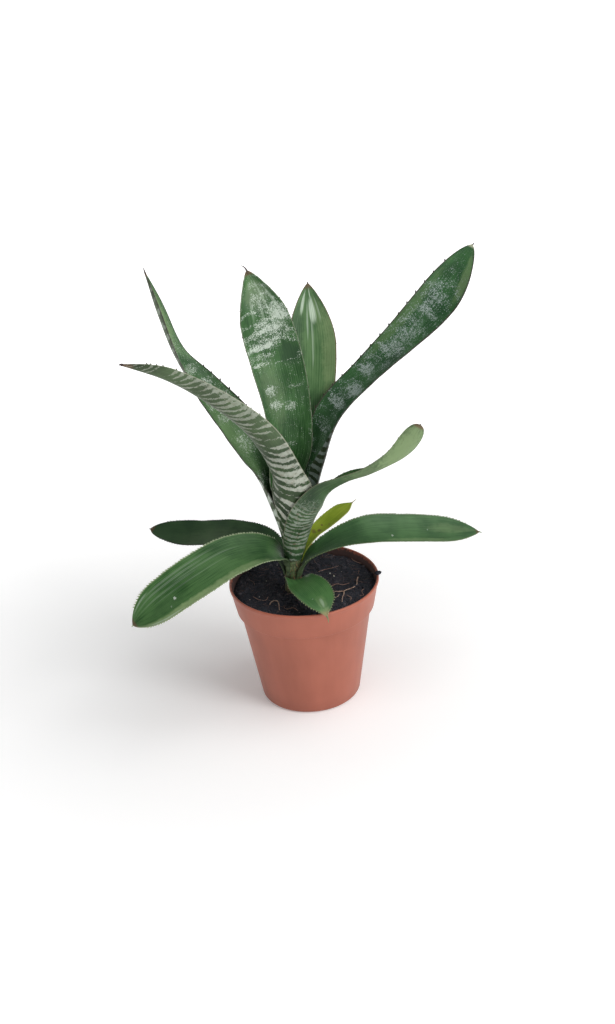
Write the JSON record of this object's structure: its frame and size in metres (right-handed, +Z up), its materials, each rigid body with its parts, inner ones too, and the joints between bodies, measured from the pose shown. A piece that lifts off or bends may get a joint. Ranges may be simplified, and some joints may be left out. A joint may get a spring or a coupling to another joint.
{
  "type": "potted bromeliad plant",
  "caption": "Rosette bromeliad with toothed, silver-banded strap leaves around a short stem, planted in peat in a tapered terracotta-coloured plastic pot.",
  "frame": {"origin": "centre of the pot's foot, on the surface that it stands on", "axes": "+Z up, +X to the right and +Y away from the viewer in the picture; the twisted leaf and the small low leaf face -Y"},
  "size_m": [0.2784, 0.1563, 0.3514],
  "materials": {
    "pot": "smooth semi-matte terracotta colour",
    "peat": "moist crumbly peat",
    "stem": "dull green with brown fibres",
    "leaf_banded": "satin green with grey scale bands",
    "leaf_plain": "satin green",
    "leaf_shaded": "satin dark green",
    "leaf_young": "satin yellow green",
    "root": "dull pale brown"
  },
  "bodies": {
    "root": {"pot": "pot", "peat": "peat", "stem": "stem", "leaf_centre": "leaf_banded", "leaf_right_tall": "leaf_banded", "leaf_left_tall": "leaf_banded", "leaf_back_plain": "leaf_plain", "leaf_front_banded": "leaf_banded", "leaf_front_twisted": "leaf_banded", "leaf_low_left_back": "leaf_shaded", "leaf_young": "leaf_young", "leaf_low_left_front": "leaf_plain", "leaf_low_right": "leaf_plain", "leaf_low_front": "leaf_plain", "root_right": "root", "root_front": "root", "root_left": "root", "rim_crumb": "peat"}
  },
  "joints": []
}
